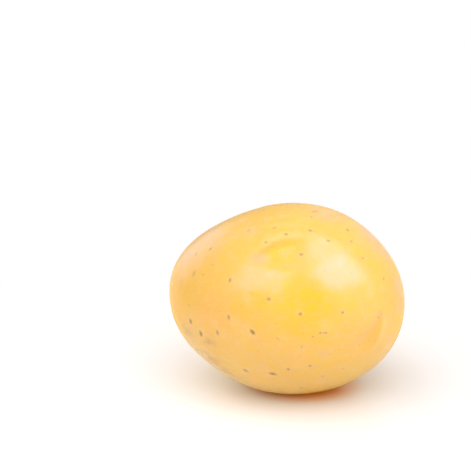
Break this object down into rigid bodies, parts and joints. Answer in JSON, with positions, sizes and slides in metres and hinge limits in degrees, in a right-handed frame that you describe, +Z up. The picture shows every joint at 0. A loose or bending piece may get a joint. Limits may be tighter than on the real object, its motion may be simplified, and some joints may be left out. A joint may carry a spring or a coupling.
{
  "type": "potato",
  "caption": "Whole raw table potato, smooth and oval, with thin washed yellow skin, shallow eyes and small brown pores, lying on its side on a small flat spot.",
  "frame": {"origin": "middle of the underside of the bounding box, in the plane of the flat spot that the potato rests on", "axes": "+Z up; +X along the long axis, from the stem end to the rose end; +Y from the front to the back"},
  "size_m": [0.0776, 0.0654, 0.0618],
  "materials": {
    "potato_skin": "thin washed potato skin: warm pale yellow, satin with a soft sheen, faint mottling, small brown pores"
  },
  "bodies": {
    "root": {"potato": "potato_skin"}
  },
  "joints": []
}
